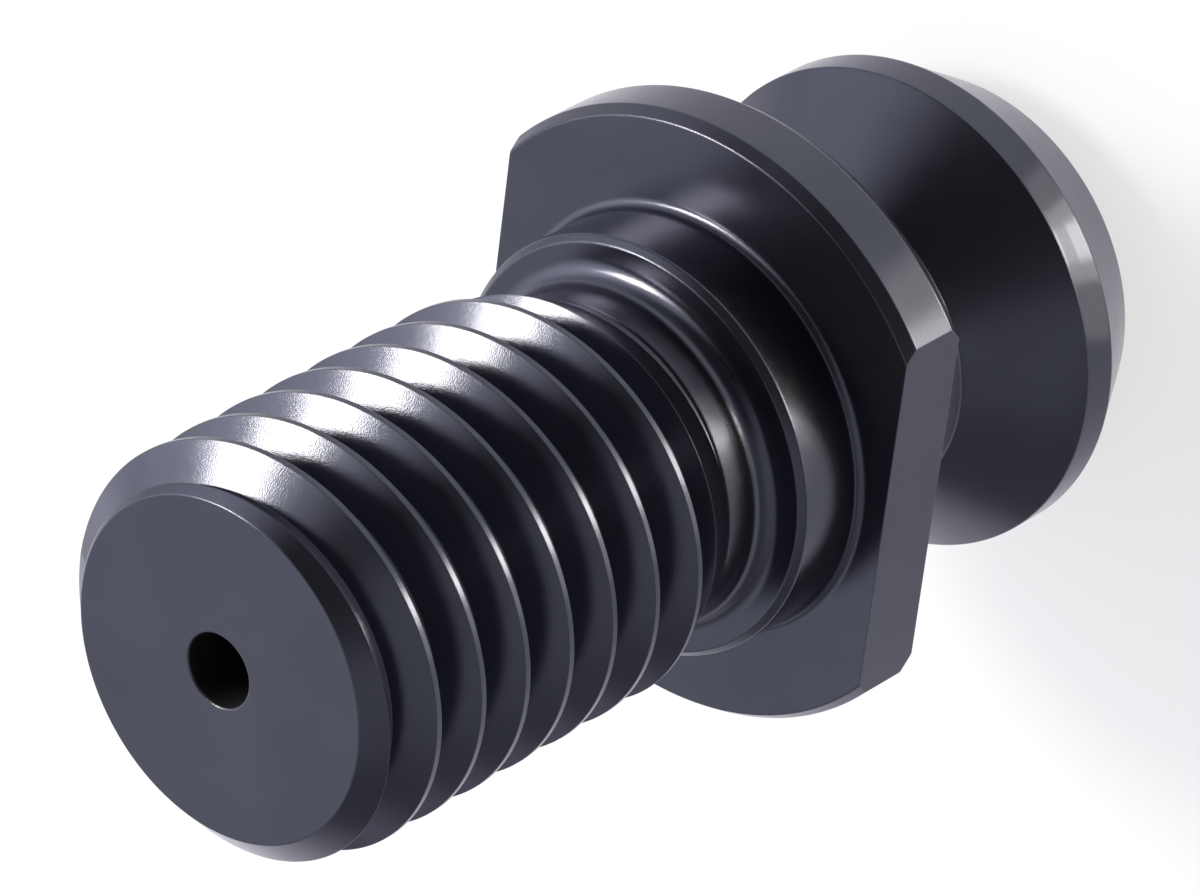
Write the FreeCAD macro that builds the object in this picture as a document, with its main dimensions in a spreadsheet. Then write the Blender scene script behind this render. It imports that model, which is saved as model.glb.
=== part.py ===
"""Pull stud for a 40 taper tool holder, turned from one steel bar.

It stands on the end of its gripping head with the thread upwards. Z runs up the
axis from the head's end, and the wrench flats face +Y and -Y. Millimetres.
"""
import FreeCAD, Part
import os
import Sketcher

os.makedirs("parts", exist_ok=True)
doc = FreeCAD.newDocument("pull_stud")

# Driving dimensions
SIZES = [
    ("head_dia", 18.87, "gripping head, over its rim"),
    ("head_end_dia", 15.2, "flat end that the stud stands on"),
    ("head_taper_height", 3.2, "tapered back of the head"),
    ("rim_height", 1.42, "plain rim between the tapered back and the gripping cone"),
    ("grip_angle", 45, "gripping cone, from the axis"),
    ("neck_dia", 12.3, "neck that the gripper's fingers close round"),
    ("neck_height", 5.395, "neck between the gripping cone and the flange"),
    ("neck_corner", 0.1, "eased corner at each end of the neck"),
    ("flange_dia", 23.8, "flange, over its rim"),
    ("flange_height", 3, "flange between its two faces"),
    ("back_bevel_across", 0.35, "bevel between the rim and the flange's back, across the stud"),
    ("back_bevel_along", 0.55, "the same bevel, along the stud"),
    ("seat_chamfer_across", 0.3, "chamfer between the rim and the seat, across the stud"),
    ("seat_chamfer_along", 0.46, "the same chamfer, along the stud"),
    ("across_flats", 18.7, "wrench flats on the flange"),
    ("pilot_dia", 16.26, "plain pilot that centres the stud in the holder"),
    ("pilot_height", 3.15, "pilot above the flange's seat"),
    ("pilot_chamfer", 0.25, "chamfer on the pilot's upper edge"),
    ("pilot_corner", 0.2, "eased corner between the pilot and the seat"),
    ("shank_height", 21.75, "threaded shank above the pilot"),
    ("relief_height", 1.5, "straight bottom of the thread relief"),
    ("relief_corner", 0.6, "sloped corner between the relief and the pilot"),
    ("relief_angle", 25, "slope from the relief up to the thread, from the axis"),
    ("relief_undercut", 0.05, "relief's bottom below the thread's roots"),
    ("thread_dia", 15.7, "crests of the 5/8-11 thread"),
    ("thread_pitch", 2.309, "one turn of the thread, 11 to the inch"),
    ("thread_angle", 60, "angle between the thread's flanks"),
    ("crest_flat", 0.24, "flat along each crest"),
    ("root_flat", 0.5, "flat along each root"),
    ("end_chamfer", 1.37, "45 degree chamfer at the thread's end"),
    ("coolant_dia", 2.8, "coolant hole along the axis"),
    ("cut_overrun", 1, "how far a turned or milled cut reaches past the metal"),
    ("thread_overrun", 0.1, "how far the thread's cut reaches past its crests"),
    ("thread_clearance", 0.13, "between the pilot's shoulder and the start of the thread's cut"),
]
sheet = doc.addObject("Spreadsheet::Sheet", "Sizes")
for row, (name, value, meaning) in enumerate(SIZES, start=1):
    sheet.set(f"A{row}", meaning)
    sheet.set(f"B{row}", str(value))
    sheet.setAlias(f"B{row}", name)
doc.recompute()

# Radii, from the axis
HEAD_R = "Sizes.head_dia / 2"
NECK_R = "Sizes.neck_dia / 2"
FLANGE_R = "Sizes.flange_dia / 2"
PILOT_R = "Sizes.pilot_dia / 2"
CREST_R = "Sizes.thread_dia / 2"
THREAD_DEPTH = "(Sizes.thread_pitch - Sizes.crest_flat - Sizes.root_flat) / 2 / tan(Sizes.thread_angle / 2)"
ROOT_R = f"{CREST_R} - {THREAD_DEPTH}"
RELIEF_R = f"{ROOT_R} - Sizes.relief_undercut"

# Heights, from the head's end
RIM_Z = "Sizes.head_taper_height"
CONE_Z = f"{RIM_Z} + Sizes.rim_height"
NECK_Z = f"{CONE_Z} + (Sizes.head_dia - Sizes.neck_dia) / 2 / tan(Sizes.grip_angle)"
FLANGE_Z = f"{NECK_Z} + Sizes.neck_height"
SEAT_Z = f"{FLANGE_Z} + Sizes.flange_height"
SHOULDER_Z = f"{SEAT_Z} + Sizes.pilot_height"
RELIEF_Z = f"{SHOULDER_Z} + Sizes.relief_corner"
SLOPE_Z = f"{RELIEF_Z} + Sizes.relief_height"
END_Z = f"{SHOULDER_Z} + Sizes.shank_height"

stud = doc.addObject("PartDesign::Body", "pull_stud")
stud.Label = "pull_stud"


def evaluate(formula):
    """The present value of a formula of the sheet's sizes."""
    value = stud.evalExpression(formula)
    return float(getattr(value, "Value", value))


def datum(role):
    """One of the stud's own planes or axes, such as XZ_Plane or Z_Axis."""
    return next(feature for feature in stud.Origin.OriginFeatures if feature.Role == role)


def add_sketch(name, role):
    sketch = stud.newObject("Sketcher::SketchObject", name)
    sketch.AttachmentSupport = [(datum(role), "")]
    sketch.MapMode = "FlatFace"
    return sketch


def add_outline(name, role, corners):
    """A closed sketch whose corners are each held by two formulas: across, then along."""
    sketch = add_sketch(name, role)
    places = [FreeCAD.Vector(evaluate(across), evaluate(along), 0) for across, along in corners]
    for start, finish in zip(places, places[1:] + places[:1]):
        sketch.addGeometry(Part.LineSegment(start, finish))
    for line, corner in enumerate(corners):
        before = (line - 1) % len(corners)
        sketch.addConstraint(Sketcher.Constraint("Coincident", before, 2, line, 1))
        for kind, axis, formula in zip(("DistanceX", "DistanceY"), (-2, -1), corner):
            if formula == "0":
                sketch.addConstraint(Sketcher.Constraint("PointOnObject", line, 1, axis))
                continue
            held = Sketcher.Constraint(kind, -1, 1, line, 1, evaluate(formula))
            sketch.setExpression(f"Constraints[{sketch.addConstraint(held)}]", formula)
    return sketch


def add_feature(kind, name, cuts=False, **settings):
    """Adds a feature to the stud, and sees that a cut takes metal away."""
    before = stud.Tip.Shape.Volume if stud.Tip else 0
    feature = stud.newObject(kind, name)
    for setting, value in settings.items():
        if isinstance(value, str) and ("Sizes." in value):
            feature.setExpression(setting, value)
        else:
            setattr(feature, setting, value)
    doc.recompute()
    if cuts and not feature.Shape.Volume < before:
        raise RuntimeError(f"{name} cuts nothing")
    return feature


def round_edges(radius, height):
    """Names the stud's full-circle edges at a radius and height."""
    found = []
    for number, edge in enumerate(stud.Shape.Edges, start=1):
        curve = edge.Curve
        if not isinstance(curve, Part.Circle) or abs(curve.Axis.z) < 0.99:
            continue
        if abs(curve.Radius - evaluate(radius)) + abs(curve.Center.z - evaluate(height)) < 1e-4:
            found.append(f"Edge{number}")
    return found


def turn_blank():
    """The stud as it comes off the lathe, before its thread relief."""
    profile = add_outline("blank_profile", "XZ_Plane", [
        ("0", "0"),
        ("Sizes.head_end_dia / 2", "0"),
        (HEAD_R, RIM_Z),
        (HEAD_R, CONE_Z),
        (NECK_R, NECK_Z),
        (NECK_R, FLANGE_Z),
        (f"{FLANGE_R} - Sizes.back_bevel_across", FLANGE_Z),
        (FLANGE_R, f"{FLANGE_Z} + Sizes.back_bevel_along"),
        (FLANGE_R, f"{SEAT_Z} - Sizes.seat_chamfer_along"),
        (f"{FLANGE_R} - Sizes.seat_chamfer_across", SEAT_Z),
        (PILOT_R, SEAT_Z),
        (PILOT_R, f"{SHOULDER_Z} - Sizes.pilot_chamfer"),
        (f"{PILOT_R} - Sizes.pilot_chamfer", SHOULDER_Z),
        (CREST_R, SHOULDER_Z),
        (CREST_R, f"{END_Z} - Sizes.end_chamfer"),
        (f"{CREST_R} - Sizes.end_chamfer", END_Z),
        ("0", END_Z),
    ])
    add_feature("PartDesign::Revolution", "blank", Profile=profile, ReferenceAxis=(profile, ["V_Axis"]), Angle=360)


def turn_relief():
    """The groove that the thread runs out into, with a sloped corner and a long slope."""
    reach = f"{CREST_R} + Sizes.cut_overrun"
    profile = add_outline("relief_profile", "XZ_Plane", [
        (f"{RELIEF_R} + Sizes.relief_corner", SHOULDER_Z),
        (RELIEF_R, RELIEF_Z),
        (RELIEF_R, SLOPE_Z),
        (reach, f"{SLOPE_Z} + ({reach} - ({RELIEF_R})) / tan(Sizes.relief_angle)"),
        (reach, SHOULDER_Z),
    ])
    add_feature("PartDesign::Groove", "relief", cuts=True, Profile=profile,
                ReferenceAxis=(profile, ["V_Axis"]), Angle=360)


def ease_corners():
    """Narrow sloped corners at both ends of the neck, and where the pilot meets the seat."""
    neck_ends = round_edges(NECK_R, NECK_Z) + round_edges(NECK_R, FLANGE_Z)
    add_feature("PartDesign::Chamfer", "neck_corners", Base=(stud.Tip, neck_ends), Size="Sizes.neck_corner")
    pilot_foot = round_edges(PILOT_R, SEAT_Z)
    add_feature("PartDesign::Chamfer", "seat_corner", Base=(stud.Tip, pilot_foot), Size="Sizes.pilot_corner")


def mill_flats():
    """Two parallel flats through the flange, for a wrench."""
    half = f"{FLANGE_R} + Sizes.cut_overrun"
    block = add_outline("flat_block", "XZ_Plane", [
        (f"-({half})", f"{FLANGE_Z} - Sizes.cut_overrun"),
        (half, f"{FLANGE_Z} - Sizes.cut_overrun"),
        (half, f"{SEAT_Z} + Sizes.cut_overrun"),
        (f"-({half})", f"{SEAT_Z} + Sizes.cut_overrun"),
    ])
    block.setExpression("AttachmentOffset.Base.z", "Sizes.across_flats / 2")
    flat = add_feature("PartDesign::Pocket", "wrench_flat", cuts=True, Profile=block, Type="Length",
                       Length=f"{half} - Sizes.across_flats / 2", Reversed=True)
    pair = add_feature("PartDesign::PolarPattern", "wrench_flats", cuts=True, Originals=[flat],
                       Axis=(datum("Z_Axis"), [""]), Angle=360, Occurrences=2)
    stud.Tip = pair
    doc.recompute()


def drill_coolant_hole():
    """A straight hole along the axis, right through."""
    circle = add_sketch("coolant_circle", "XY_Plane")
    circle.addGeometry(Part.Circle(FreeCAD.Vector(), FreeCAD.Vector(0, 0, 1), evaluate("Sizes.coolant_dia / 2")))
    circle.addConstraint(Sketcher.Constraint("Coincident", 0, 3, -1, 1))
    size = circle.addConstraint(Sketcher.Constraint("Diameter", 0, evaluate("Sizes.coolant_dia")))
    circle.setExpression(f"Constraints[{size}]", "Sizes.coolant_dia")
    doc.recompute()
    add_feature("PartDesign::Pocket", "coolant_hole", cuts=True, Profile=circle, Type="ThroughAll", Reversed=True)


def cut_thread():
    """The right-hand V thread, cut from just above the pilot's shoulder to past the shank's end."""
    root_half = "Sizes.root_flat / 2"
    flare = "Sizes.thread_overrun * tan(Sizes.thread_angle / 2)"
    mouth_half = f"((Sizes.thread_pitch - Sizes.crest_flat) / 2 + {flare})"
    mouth_r = f"{CREST_R} + Sizes.thread_overrun"
    first = f"{SHOULDER_Z} + Sizes.thread_clearance + {mouth_half}"
    groove = add_outline("thread_groove", "XZ_Plane", [
        (ROOT_R, f"{first} - {root_half}"),
        (mouth_r, f"{first} - {mouth_half}"),
        (mouth_r, f"{first} + {mouth_half}"),
        (ROOT_R, f"{first} + {root_half}"),
    ])
    add_feature("PartDesign::SubtractiveHelix", "thread", cuts=True, Profile=groove,
                ReferenceAxis=(groove, ["V_Axis"]), Mode="pitch-turns-angle", Pitch="Sizes.thread_pitch",
                Turns=f"ceil(({END_Z} + {mouth_half} - ({first})) / Sizes.thread_pitch)",
                LeftHanded=False, Reversed=False)


turn_blank()
turn_relief()
ease_corners()
mill_flats()
drill_coolant_hole()
cut_thread()

for item in doc.Objects:
    if "Invalid" in item.State or "Error" in item.State:
        raise RuntimeError(f"{item.Name} failed: {item.State}")
shape = stud.Shape
if shape.isNull() or not shape.isValid() or len(shape.Solids) != 1:
    raise RuntimeError("the stud is not one valid solid")
shape.exportStep(f"parts/{stud.Label}.step")
box = shape.optimalBoundingBox()
print(f"{stud.Label}: {box.XLength:.2f} x {box.YLength:.2f} x {box.ZLength:.2f} mm, {shape.Volume:.1f} mm3")
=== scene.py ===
"""Pull stud in satin black oxide steel, standing on its gripping head on a pale floor.

Lengths are given in millimetres and handed to Blender in metres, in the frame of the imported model:
Z runs up the stud's axis, from the head's end.
"""

import math

import bpy
from mathutils import Matrix, Vector


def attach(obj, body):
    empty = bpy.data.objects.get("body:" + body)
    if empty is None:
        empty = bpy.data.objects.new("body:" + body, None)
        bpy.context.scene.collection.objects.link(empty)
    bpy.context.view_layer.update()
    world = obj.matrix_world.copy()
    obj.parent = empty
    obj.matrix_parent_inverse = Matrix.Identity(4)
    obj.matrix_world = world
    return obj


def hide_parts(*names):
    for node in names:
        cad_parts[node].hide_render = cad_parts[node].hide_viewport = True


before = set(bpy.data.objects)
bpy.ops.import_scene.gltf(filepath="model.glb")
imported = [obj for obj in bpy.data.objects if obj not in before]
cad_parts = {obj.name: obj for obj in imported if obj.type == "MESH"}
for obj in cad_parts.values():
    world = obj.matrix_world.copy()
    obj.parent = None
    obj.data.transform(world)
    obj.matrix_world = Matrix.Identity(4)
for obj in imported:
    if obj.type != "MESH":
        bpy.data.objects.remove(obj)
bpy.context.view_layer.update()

MM = 0.001
STUD = "pull_stud"


def new_object(name, data):
    made = bpy.data.objects.new(name, data)
    bpy.context.scene.collection.objects.link(made)
    return made


def direction(azimuth, elevation):
    """A unit vector, by degrees round from +X and degrees above the floor."""
    turn, rise = math.radians(azimuth), math.radians(elevation)
    level = math.cos(rise)
    return Vector((math.cos(turn) * level, math.sin(turn) * level, math.sin(rise)))


class Tree:
    """A node tree under construction: of a material, of the world or of Geometry Nodes."""

    def __init__(self, node_tree):
        self.nodes, self.links = node_tree.nodes, node_tree.links

    def feed(self, socket, value):
        """Gives a socket a value, or another node's output."""
        if isinstance(value, bpy.types.NodeSocket):
            self.links.new(value, socket)
        else:
            socket.default_value = value

    def add(self, kind, settings=None, **sockets):
        """Adds a node and feeds its sockets, which are named with _ for a space."""
        node = self.nodes.new(kind)
        for setting, value in (settings or {}).items():
            setattr(node, setting, value)
        for label, value in sockets.items():
            self.feed(node.inputs[label.replace("_", " ")], value)
        return node

    def reckon(self, kind, operation, values):
        """Adds a node that works on values in their order, and gives its outputs."""
        node = self.add(kind, {"operation": operation})
        for socket, value in zip(node.inputs, values):
            self.feed(socket, value)
        return node.outputs

    def math(self, operation, *values):
        return self.reckon("ShaderNodeMath", operation, values)["Value"]

    def vector_math(self, operation, *values):
        return self.reckon("ShaderNodeVectorMath", operation, values)

    def place(self, **axes):
        """A vector from its X, Y and Z, where one left out is 0."""
        return self.add("ShaderNodeCombineXYZ", **axes).outputs["Vector"]


# Camera, at the photograph's angle: above the thread's end, rolled so that the head is at the
# upper right
CAMERA_PLACE = Vector((-174.080, 162.804, 238.532)) * MM
CAMERA_TOWARD = Vector((0.538018, -0.505232, -0.674742))
CAMERA_ROLL = math.radians(-118.436)
CAMERA_LENS, SENSOR_WIDTH = 270, 36
CAMERA_CLIP_START = 10


def place_camera():
    lens = bpy.data.cameras.new("camera")
    lens.sensor_fit = "HORIZONTAL"
    lens.sensor_width = SENSOR_WIDTH
    lens.lens = CAMERA_LENS
    lens.clip_start = CAMERA_CLIP_START * MM
    camera = new_object("camera", lens)
    level = CAMERA_TOWARD.to_track_quat("-Z", "Y").to_matrix().to_4x4()
    roll = Matrix.Rotation(CAMERA_ROLL, 4, "Z")
    camera.matrix_world = Matrix.Translation(CAMERA_PLACE) @ level @ roll
    bpy.context.scene.camera = camera


# The stud's sizes; heights are counted from the head's end
HEAD_RADIUS, HEAD_END_RADIUS = 9.435, 7.6
RIM_FOOT, RIM_TOP = 3.2, 4.62
NECK_RADIUS, NECK_FOOT = 6.15, 7.905
FLANGE_RADIUS, FLANGE_BACK, SEAT = 11.9, 13.3, 16.3
BACK_BEVEL, SEAT_CHAMFER = (0.35, 0.55), (0.3, 0.46)
ACROSS_FLATS = 18.7
PILOT_RADIUS, PILOT_TOP, PILOT_CHAMFER = 8.13, 19.45, 0.25
THREAD_RADIUS, THREAD_END, END_CHAMFER = 7.85, 41.2, 1.37
THREAD_PITCH, THREAD_ANGLE, CREST_FLAT, ROOT_FLAT = 2.309, math.radians(60), 0.24, 0.5
THREAD_START = 0.13  # from the pilot's top to the groove's lower edge, where it begins
RELIEF_BOTTOM, RELIEF_SLOPE = 1.5, math.radians(25)
RELIEF_CORNER, RELIEF_UNDERCUT = 0.6, 0.05
COOLANT_RADIUS = 1.4

THREAD_DEPTH = (THREAD_PITCH - CREST_FLAT - ROOT_FLAT) / 2 / math.tan(THREAD_ANGLE / 2)
RELIEF_RADIUS = THREAD_RADIUS - THREAD_DEPTH - RELIEF_UNDERCUT
SLOPE_FOOT = PILOT_TOP + RELIEF_CORNER + RELIEF_BOTTOM
SLOPE_TOP = SLOPE_FOOT + (THREAD_RADIUS - RELIEF_RADIUS) / math.tan(RELIEF_SLOPE)

# The turned outline: each corner's radius from the axis, its height and how far it is rounded
TURNED_OUTLINE = [
    (COOLANT_RADIUS, 0, 0.1),
    (HEAD_END_RADIUS, 0, 0.15),
    (HEAD_RADIUS, RIM_FOOT, 0.2),
    (HEAD_RADIUS, RIM_TOP, 0.1),
    (NECK_RADIUS, NECK_FOOT, 0.2),
    (NECK_RADIUS, FLANGE_BACK, 0.3),
    (FLANGE_RADIUS - BACK_BEVEL[0], FLANGE_BACK, 0.1),
    (FLANGE_RADIUS, FLANGE_BACK + BACK_BEVEL[1], 0.15),
    (FLANGE_RADIUS, SEAT - SEAT_CHAMFER[1], 0.12),
    (FLANGE_RADIUS - SEAT_CHAMFER[0], SEAT, 0.12),
    (PILOT_RADIUS, SEAT, 0.35),
    (PILOT_RADIUS, PILOT_TOP - PILOT_CHAMFER, 0.12),
    (PILOT_RADIUS - PILOT_CHAMFER, PILOT_TOP, 0.12),
    (RELIEF_RADIUS, PILOT_TOP, 0.8),
    (RELIEF_RADIUS, SLOPE_FOOT, 0.5),
    (THREAD_RADIUS, SLOPE_TOP, 0),
    (THREAD_RADIUS, THREAD_END - END_CHAMFER, 0),
    (THREAD_RADIUS - END_CHAMFER, THREAD_END, 0.08),
    (COOLANT_RADIUS, THREAD_END, 0.08),
]

# How the shape is made: the rounded corners' steps, the steps round the axis, the circle that the
# outline is swept along, and how far the cutters reach past the steel
ARC_STEP = math.radians(11)
CORNER_MARGIN = 0.04
STEPS_ROUND = 240
SPINDLE_RADIUS = 1
GROOVE_OVERRUN, MILL_OVERRUN = 0.1, 1
MILL_SIZE = 30
SMOOTH_BELOW = math.radians(24)


def round_corner(before, corner, after, radius):
    """The arc that rounds a corner, with a point more on each side, to keep the sides flat."""
    if radius == 0:
        return [corner]
    back, onward = (before - corner).normalized(), (after - corner).normalized()
    half = back.angle(onward) / 2
    reach = radius / math.tan(half)
    middle = corner + (back + onward).normalized() * radius / math.sin(half)
    start, finish = corner + back * reach, corner + onward * reach
    steps = max(2, math.ceil((math.pi - 2 * half) / ARC_STEP))
    sweep = (start - middle).angle_signed(finish - middle)
    arc = [middle + Matrix.Rotation(-sweep * step / steps, 2) @ (start - middle)
           for step in range(steps + 1)]
    return [start + back * CORNER_MARGIN] + arc + [finish + onward * CORNER_MARGIN]


def draw_outline():
    """The turned outline as a closed line, with radius along X and height along -Y."""
    corners = [Vector((across, height)) for across, height, _ in TURNED_OUTLINE]
    points = []
    for number, (*_, radius) in enumerate(TURNED_OUTLINE):
        after = corners[(number + 1) % len(corners)]
        points += round_corner(corners[number - 1], corners[number], after, radius)
    edges = [(number, (number + 1) % len(points)) for number in range(len(points))]
    mesh = bpy.data.meshes.new("turned_outline")
    mesh.from_pydata([(point.x * MM, -point.y * MM, 0) for point in points], edges, [])
    return mesh


def stud_inputs(steel):
    """What the stud's Geometry Nodes tree is given, by name: each input's kind and value."""
    mouth = THREAD_PITCH - CREST_FLAT + 2 * GROOVE_OVERRUN * math.tan(THREAD_ANGLE / 2)
    first_turn = PILOT_TOP + THREAD_START + mouth / 2
    turns = math.ceil((THREAD_END + mouth / 2 - first_turn) / THREAD_PITCH)
    return {
        "Steps round": ("Int", STEPS_ROUND),
        "Spindle radius": ("Float", SPINDLE_RADIUS * MM),
        "Thread radius": ("Float", (THREAD_RADIUS + GROOVE_OVERRUN) * MM),
        "Thread pitch": ("Float", THREAD_PITCH * MM),
        "Thread turns": ("Float", float(turns)),
        "Thread start height": ("Float", first_turn * MM),
        "Groove depth": ("Float", (THREAD_DEPTH + GROOVE_OVERRUN) * MM),
        "Groove width at root": ("Float", ROOT_FLAT * MM),
        "Groove width at crest": ("Float", mouth * MM),
        "Across flats": ("Float", ACROSS_FLATS * MM),
        "Flats middle height": ("Float", (FLANGE_BACK + SEAT) / 2 * MM),
        "Mill size": ("Float", MILL_SIZE * MM),
        "Mill thickness": ("Float", (SEAT - FLANGE_BACK + 2 * MILL_OVERRUN) * MM),
        "Smooth below angle": ("Float", SMOOTH_BELOW),
        "Steel": ("Material", steel),
    }


def plan_stud(inputs):
    """Turns the outline round the axis, cuts the thread's groove and mills the two flats."""
    group = bpy.data.node_groups.new("turned_stud", "GeometryNodeTree")
    group.is_modifier = True
    group.interface.new_socket("Geometry", in_out="OUTPUT", socket_type="NodeSocketGeometry")
    group.interface.new_socket("Outline", in_out="INPUT", socket_type="NodeSocketGeometry")
    for name, (kind, _) in inputs.items():
        group.interface.new_socket(name, in_out="INPUT", socket_type=f"NodeSocket{kind}")
    tree = Tree(group)
    given = tree.add("NodeGroupInput").outputs

    def upright(curve):
        made = tree.add("GeometryNodeSetCurveNormal", {"mode": "Z_UP"}, Curve=curve)
        return made.outputs["Curve"]

    def moved(geometry, **moves):
        return tree.add("GeometryNodeTransform", Geometry=geometry, **moves).outputs["Geometry"]

    def swept(curve, profile, **caps):
        made = tree.add("GeometryNodeCurveToMesh", Curve=curve, Profile_Curve=profile, **caps)
        return made.outputs["Mesh"]

    spindle = tree.add("GeometryNodeCurvePrimitiveCircle", Resolution=given["Steps round"],
                       Radius=given["Spindle radius"])
    outline = tree.add("GeometryNodeMeshToCurve", Mesh=given["Outline"])
    to_spindle = tree.place(X=tree.math("MULTIPLY", given["Spindle radius"], -1))
    outline = moved(outline.outputs["Curve"], Translation=to_spindle)
    blank = swept(upright(spindle.outputs["Curve"]), outline)
    blank = tree.add("GeometryNodeFlipFaces", Mesh=blank).outputs["Mesh"]

    climb = tree.math("MULTIPLY", given["Thread pitch"], given["Thread turns"])
    helix = tree.add("GeometryNodeCurveSpiral", Resolution=given["Steps round"],
                     Rotations=given["Thread turns"], Start_Radius=given["Thread radius"],
                     End_Radius=given["Thread radius"], Height=climb, Reverse=True)
    cutter = tree.add("GeometryNodeCurvePrimitiveQuadrilateral", {"mode": "TRAPEZOID"},
                      Height=given["Groove depth"], Bottom_Width=given["Groove width at root"],
                      Top_Width=given["Groove width at crest"], Offset=0.0)
    inward = tree.place(X=tree.math("MULTIPLY", given["Groove depth"], -0.5))
    cutter = moved(cutter.outputs["Curve"], Translation=inward, Rotation=(0, 0, -math.pi / 2))
    groove = swept(upright(helix.outputs["Curve"]), cutter, Fill_Caps=True)
    groove = moved(groove, Translation=tree.place(Z=given["Thread start height"]))

    block = tree.add("GeometryNodeMeshCube", Size=tree.place(
        X=given["Mill size"], Y=given["Mill size"], Z=given["Mill thickness"]))
    apart = tree.math("ADD", given["Across flats"], given["Mill size"])
    flats = []
    for side in (0.5, -0.5):
        centre = tree.place(Y=tree.math("MULTIPLY", apart, side), Z=given["Flats middle height"])
        flats.append(moved(block.outputs["Mesh"], Translation=centre))

    cut = tree.add("GeometryNodeMeshBoolean", {"operation": "DIFFERENCE", "solver": "MANIFOLD"},
                   Mesh_1=blank)
    for piece in (groove, *flats):
        tree.feed(cut.inputs["Mesh 2"], piece)
    angle = tree.add("GeometryNodeInputMeshEdgeAngle")
    gentle = tree.add("FunctionNodeCompare", {"data_type": "FLOAT", "operation": "LESS_THAN"},
                      A=angle.outputs["Unsigned Angle"], B=given["Smooth below angle"])
    stud = cut.outputs["Mesh"]
    for domain, smooth in (("EDGE", gentle.outputs["Result"]), ("FACE", True)):
        shaded = tree.add("GeometryNodeSetShadeSmooth", {"domain": domain}, Geometry=stud,
                          Shade_Smooth=smooth)
        stud = shaded.outputs["Geometry"]
    whole = tree.add("GeometryNodeRealizeInstances", Geometry=stud)
    finish = tree.add("GeometryNodeSetMaterial", Geometry=whole.outputs["Geometry"],
                      Material=given["Steel"])
    tree.add("NodeGroupOutput", Geometry=finish.outputs["Geometry"])
    return group


def make_stud(steel):
    shape = new_object("turned_stud", draw_outline())
    modifier = shape.modifiers.new("turned_stud", "NODES")
    inputs = stud_inputs(steel)
    modifier.node_group = plan_stud(inputs)
    for socket in modifier.node_group.interface.items_tree:
        if socket.name in inputs:
            modifier[socket.identifier] = inputs[socket.name][1]
    evaluated = shape.evaluated_get(bpy.context.evaluated_depsgraph_get())
    mesh = bpy.data.meshes.new_from_object(evaluated)
    shape.modifiers.remove(modifier)
    mesh.materials.pop(index=0)  # an empty slot comes before the steel's
    shape.data = mesh
    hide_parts(STUD)
    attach(shape, "root")


# The steel: its black oxide varies a little from place to place, and is thin in the drilled hole
OXIDE_DARK, OXIDE_LIGHT = (0.0625, 0.065, 0.084), (0.0715, 0.075, 0.096)
HOLE_COLOUR = (0.07, 0.07, 0.073)
METALLIC = 0.9
GLANCING_TINT = (0.94, 0.93, 1)
ROUGHNESS, HOLE_ROUGHER = (0.14, 0.19), 0.3
HOLE_MARGIN = 0.03
# Each noise: how many of its cells make a metre, and its detail
OXIDE_NOISE, SHEEN_NOISE, GRAIN_NOISE = (260, 3), (1500, 4), (24000, 0)
NOISE_LOW, NOISE_HIGH = 0.3, 0.7
GRAIN_STRENGTH, GRAIN_HEIGHT = 0.4, 0.009
EDGE_EASING, EASING_SAMPLES = 0.06, 4


def new_material(name):
    material = bpy.data.materials.new(name)
    material.use_nodes = True
    return material, Tree(material.node_tree)


def black_oxide_steel():
    """Satin black oxide over turned steel: a fine grain, and edges that are slightly eased."""
    material, tree = new_material("black_oxide_steel")
    shader = tree.nodes["Principled BSDF"].inputs
    shader["Metallic"].default_value = METALLIC
    shader["Specular Tint"].default_value = (*GLANCING_TINT, 1)
    place = tree.add("ShaderNodeTexCoord").outputs["Object"]

    def noise(scale, detail):
        made = tree.add("ShaderNodeTexNoise", Scale=scale, Detail=detail, Vector=place)
        return made.outputs["Fac"]

    def spread(source, lowest, highest, low, high):
        made = tree.add("ShaderNodeMapRange", Value=source, From_Min=lowest, From_Max=highest,
                        To_Min=low, To_Max=high)
        return made.outputs["Result"]

    def blend(factor, first, second):
        made = tree.add("ShaderNodeMix", {"data_type": "RGBA"}, Factor=factor, A=first, B=second)
        return made.outputs["Result"]

    across = tree.vector_math("MULTIPLY", place, (1, 1, 0))["Vector"]
    from_axis = tree.vector_math("LENGTH", across)["Value"]
    in_hole = spread(from_axis, COOLANT_RADIUS * MM, (COOLANT_RADIUS + HOLE_MARGIN) * MM, 1, 0)

    mottle = spread(noise(*OXIDE_NOISE), NOISE_LOW, NOISE_HIGH, 0, 1)
    oxide = blend(mottle, (*OXIDE_DARK, 1), (*OXIDE_LIGHT, 1))
    tree.feed(shader["Base Color"], blend(in_hole, oxide, (*HOLE_COLOUR, 1)))
    sheen = spread(noise(*SHEEN_NOISE), NOISE_LOW, NOISE_HIGH, *ROUGHNESS)
    tree.feed(shader["Roughness"], tree.math("MULTIPLY_ADD", in_hole, HOLE_ROUGHER, sheen))
    eased = tree.add("ShaderNodeBevel", {"samples": EASING_SAMPLES}, Radius=EDGE_EASING * MM)
    grain = tree.add("ShaderNodeBump", Strength=GRAIN_STRENGTH, Distance=GRAIN_HEIGHT * MM,
                     Height=noise(*GRAIN_NOISE), Normal=eased.outputs["Normal"])
    tree.feed(shader["Normal"], grain.outputs["Normal"])
    return material


FLOOR_REACH = 2000
FLOOR_GLOW = 0.7
FLOOR_PAINT = (0.28, 0.288, 0.305)


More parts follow.
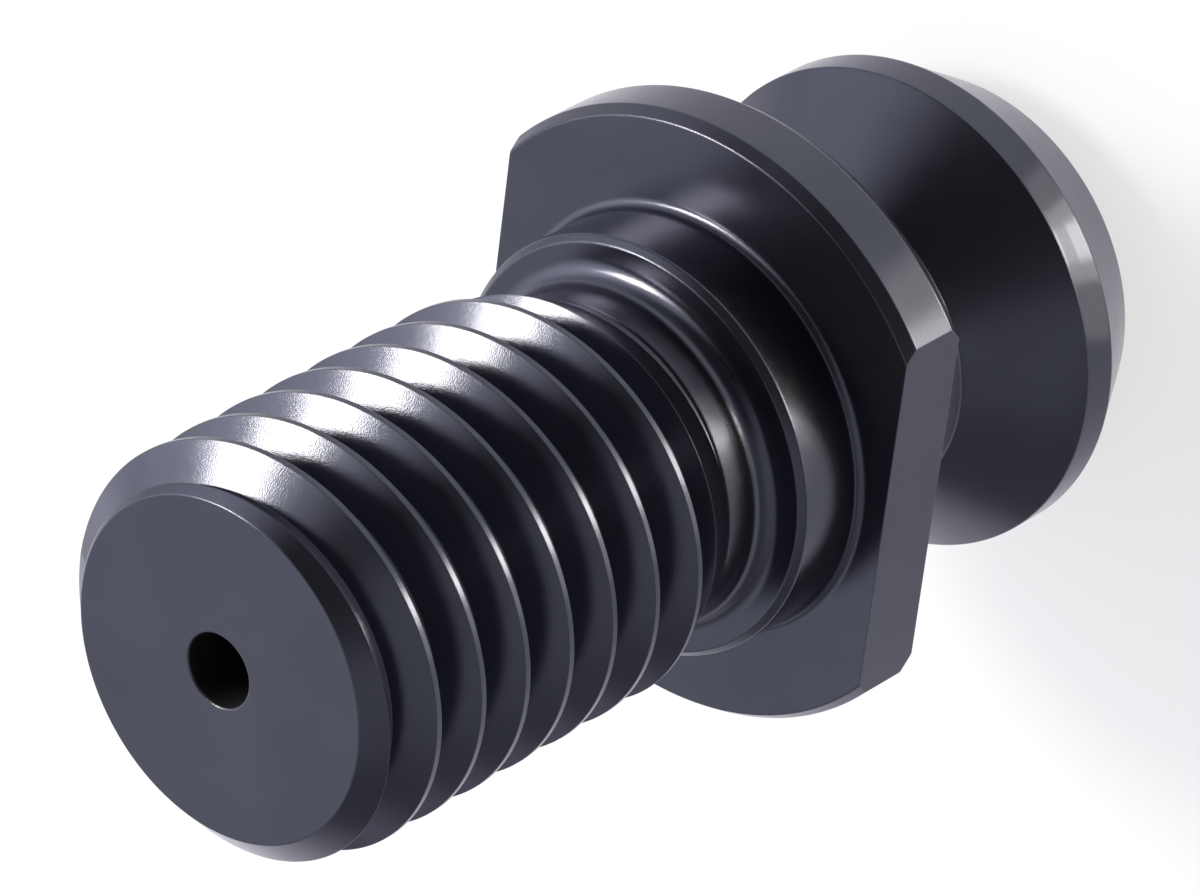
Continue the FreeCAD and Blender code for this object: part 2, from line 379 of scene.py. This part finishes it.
def lay_floor():
    """A white floor: most of its white is its own, so that the object's shadow stays light."""
    mesh = bpy.data.meshes.new("floor")
    reach = FLOOR_REACH * MM
    corners = [(-reach, -reach, 0), (reach, -reach, 0), (reach, reach, 0), (-reach, reach, 0)]
    mesh.from_pydata(corners, [], [(0, 1, 2, 3)])
    floor = new_object("floor", mesh)
    material, tree = new_material("floor_paint")
    tree.nodes.remove(tree.nodes["Principled BSDF"])
    paint = tree.add("ShaderNodeBsdfDiffuse", Color=(*FLOOR_PAINT, 1))
    path = tree.add("ShaderNodeLightPath").outputs
    seen = path["Is Camera Ray"]
    for ray in ("Is Glossy Ray", "Is Transmission Ray"):
        seen = tree.math("MAXIMUM", seen, path[ray])
    glow = tree.add("ShaderNodeEmission", Strength=tree.math("MULTIPLY", seen, FLOOR_GLOW))
    both = tree.add("ShaderNodeAddShader")
    tree.feed(both.inputs[0], paint.outputs["BSDF"])
    tree.feed(both.inputs[1], glow.outputs["Emission"])
    tree.feed(tree.nodes["Material Output"].inputs["Surface"], both.outputs["Shader"])
    mesh.materials.append(material)


# The studio's walls: how bright they are where nothing is added, and the patches that fade out
# between two half-angles round a direction. A patch with a minus darkens them, to black at most.
WALL_COLOUR = (1, 1, 1.08)
WALL_BASE = 0.33
WALL_PATCHES = [
    # azimuth, elevation, inner, outer, brightness
    (152, 42, 24, 44, -0.24),
    (150, 72, 2, 16, -0.24),
    (65, 62, 12, 45, 0.26),
    (-98, 12, 25, 58, 0.74),
    (-99, 37, 5, 30, 1.15),
    (-128, 50, 5, 30, 1.3),
    (-60, 0, 8, 32, 0.75),
    (-43, 42, 10, 35, 0.68),
    (-3, 11, 4, 14, 0.45),
]


def light_walls():
    world = bpy.data.worlds.new("studio")
    bpy.context.scene.world = world
    world.use_nodes = True
    tree = Tree(world.node_tree)
    outward = tree.add("ShaderNodeTexCoord").outputs["Generated"]
    total = WALL_BASE
    for azimuth, elevation, inner, outer, brightness in WALL_PATCHES:
        towards = tree.vector_math("DOT_PRODUCT", outward, direction(azimuth, elevation))["Value"]
        fade = tree.add("ShaderNodeMapRange", {"interpolation_type": "SMOOTHSTEP"}, Value=towards,
                        From_Min=math.cos(math.radians(outer)),
                        From_Max=math.cos(math.radians(inner)), To_Max=brightness)
        total = tree.math("ADD", total, fade.outputs["Result"])
    walls = tree.nodes["Background"].inputs
    tree.feed(walls["Color"], (*WALL_COLOUR, 1))
    tree.feed(walls["Strength"], tree.math("MAXIMUM", total, 0))


# The key hangs high at one side, a little beyond the stud, and faces a point on its axis
LAMP_COLOUR = (1, 0.93, 0.75)
KEY_WAY = direction(-116, 50)
KEY_AIM_HEIGHT, KEY_DISTANCE = 25, 500
KEY_SIZE, KEY_BRIGHTNESS = (140, 130), 32
# Lamps that lie just above the floor and shine upwards
FLOOR_LAMPS = [
    # name, azimuth, near and far end from the axis, width, height, brightness
    ("foot_lamp", 128, 10.6, 15, 2.4, 0.6, 11),
    ("foot_lamp_middle", 128, 10.6, 16, 5, 0.6, 2.2),
    ("foot_lamp_edge", 125, 10.6, 17, 11, 0.5, 0.9),
    ("middle_lamp", 120, 20, 33, 8, 0.6, 4),
    ("middle_lamp_edge", 123, 20, 33, 20, 0.5, 1.3),
    ("strip_lamp", 120, 33, 66, 12, 0.6, 12),
    ("glow_lamp", 114, 28, 66, 34, 0.4, 1.2),
]
UP = Vector((0, 0, 1))


def add_softbox(name, place, facing, long_way, size, brightness):
    """A rectangular lamp of an even brightness, where 1 is white. It shines the way it faces."""
    light = bpy.data.lights.new(name, "AREA")
    light.shape = "RECTANGLE"
    light.size, light.size_y = (side * MM for side in size)
    light.energy = brightness * math.pi * light.size * light.size_y
    light.color = LAMP_COLOUR
    lamp = new_object(name, light)
    across = long_way.cross(facing).normalized()
    axes = Matrix((facing.cross(across), across, -facing)).transposed()
    lamp.matrix_world = Matrix.Translation(place * MM) @ axes.to_4x4()
    lamp.visible_camera = False


def light_object():
    key_place = UP * KEY_AIM_HEIGHT + KEY_WAY * KEY_DISTANCE
    add_softbox("key", key_place, -KEY_WAY, UP, KEY_SIZE, KEY_BRIGHTNESS)
    for name, azimuth, near, far, width, height, brightness in FLOOR_LAMPS:
        outward = direction(azimuth, 0)
        place = outward * (near + far) / 2 + UP * height
        add_softbox(name, place, UP, outward, (far - near, width), brightness)


place_camera()
lay_floor()
light_walls()
light_object()
make_stud(black_oxide_steel())
bpy.context.scene.view_settings.view_transform = "Standard"
